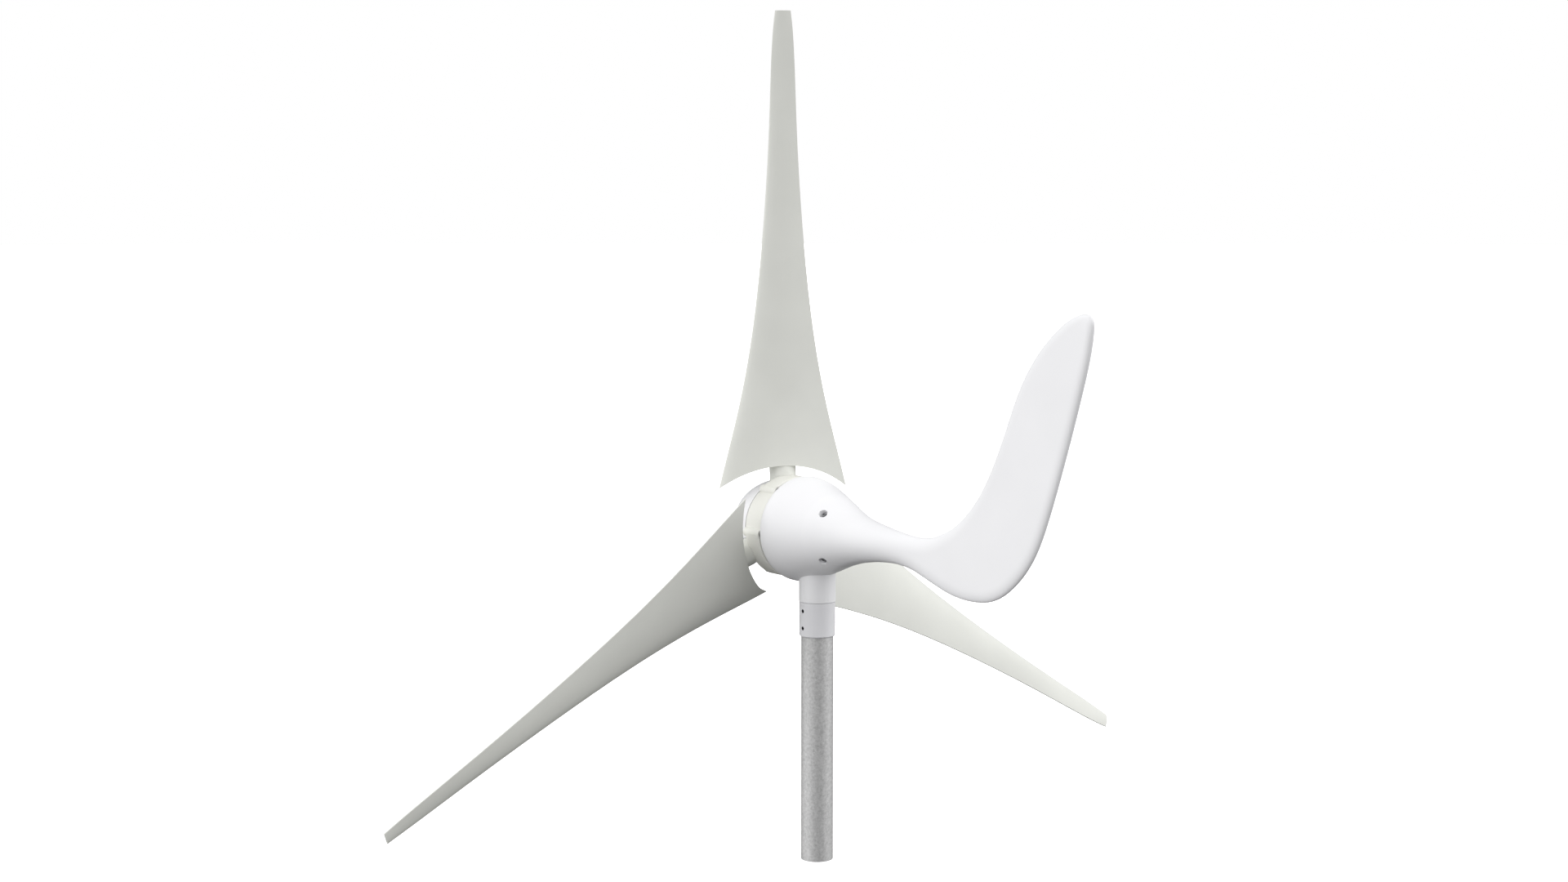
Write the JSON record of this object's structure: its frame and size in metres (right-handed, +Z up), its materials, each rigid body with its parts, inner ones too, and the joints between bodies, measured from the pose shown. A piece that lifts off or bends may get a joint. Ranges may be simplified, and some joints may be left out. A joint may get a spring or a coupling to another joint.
{
  "type": "small wind turbine",
  "caption": "Horizontal-axis micro wind turbine: wide-rooted tapered blades on a domed hub, teardrop alternator nacelle with moulded upswept tail fin, turning on a short tubular mast.",
  "frame": {"origin": "centre of the mast tube's lower end", "axes": "+Z up along the mast and yaw axis, -Y into the wind towards the rotor, +Y towards the tail fin, rotor axis along Y at 500 mm height"},
  "size_m": [1.3529, 0.7793, 1.275],
  "materials": {
    "blade_composite": "moulded glass-filled resin, warm off-white, satin",
    "hub_casting": "off-white powder coat",
    "white_shell": "smooth white moulding",
    "painted_housing": "smooth white paint on cast alloy",
    "collar_paint": "light grey-white paint",
    "galvanised_tube": "hot-dip galvanised, mottled spangle",
    "dark_fasteners": "blackened steel",
    "zinc_fasteners": "zinc plated",
    "shaft_steel": "ground steel",
    "bearing_steel": "polished bearing steel",
    "magnet_nickel": "nickel plated",
    "core_steel": "oiled electrical steel",
    "copper": "enamelled copper",
    "bracket_alloy": "plain alloy",
    "black_moulding": "black moulding",
    "carbon": "carbon",
    "spring_bronze": "bronze wire",
    "rubber_seal": "black rubber"
  },
  "bodies": {
    "mast": {"mast_tube": "galvanised_tube", "mast_collar": "collar_paint", "collar_grub_screws": "dark_fasteners", "yaw_shaft": "shaft_steel", "lower_yaw_bearing_inner_ring": "bearing_steel", "lower_yaw_bearing_balls": "bearing_steel", "upper_yaw_bearing_inner_ring": "bearing_steel", "upper_yaw_bearing_balls": "bearing_steel", "yaw_bearing_spacer": "shaft_steel", "yaw_circlip": "zinc_fasteners", "cable_grommet": "rubber_seal", "slip_ring_disc": "black_moulding", "slip_rings": "copper"},
    "nacelle": {"front_housing": "painted_housing", "tail_cover": "white_shell", "cover_seal": "rubber_seal", "cover_screws": "zinc_fasteners", "end_bracket": "bracket_alloy", "bracket_screws": "zinc_fasteners", "rectifier_heatsink": "bracket_alloy", "rectifier": "black_moulding", "stator_core": "core_steel", "stator_windings": "copper", "front_bearing_outer_ring": "bearing_steel", "rear_bearing_outer_ring": "bearing_steel", "lower_yaw_bearing_outer_ring": "bearing_steel", "upper_yaw_bearing_outer_ring": "bearing_steel", "shaft_seal": "rubber_seal", "brush_holder": "black_moulding", "brushes": "carbon", "brush_springs": "spring_bronze", "brush_holder_screw": "zinc_fasteners"},
    "rotor": {"blade_1": "blade_composite", "blade_2": "blade_composite", "blade_3": "blade_composite", "hub_rear_plate": "hub_casting", "hub_front_plate": "hub_casting", "spinner": "white_shell", "hub_bolts": "dark_fasteners", "spinner_screws": "dark_fasteners", "rotor_shaft": "shaft_steel", "shaft_key": "zinc_fasteners", "shaft_washer": "zinc_fasteners", "shaft_nut": "zinc_fasteners", "magnet_core": "core_steel", "magnets": "magnet_nickel", "front_bearing_inner_ring": "bearing_steel", "front_bearing_balls": "bearing_steel", "rear_bearing_inner_ring": "bearing_steel", "rear_bearing_balls": "bearing_steel", "shaft_circlip": "zinc_fasteners"}
  },
  "joints": [
    {"name": "yaw", "type": "hinge", "parent": "mast", "child": "nacelle", "pos_m": [0, 0, 0.38], "axis": [0, 0, 1], "continuous": true},
    {"name": "rotor_spin", "type": "hinge", "parent": "nacelle", "child": "rotor", "pos_m": [0, -0.09, 0.5], "axis": [0, 1, 0], "continuous": true}
  ]
}
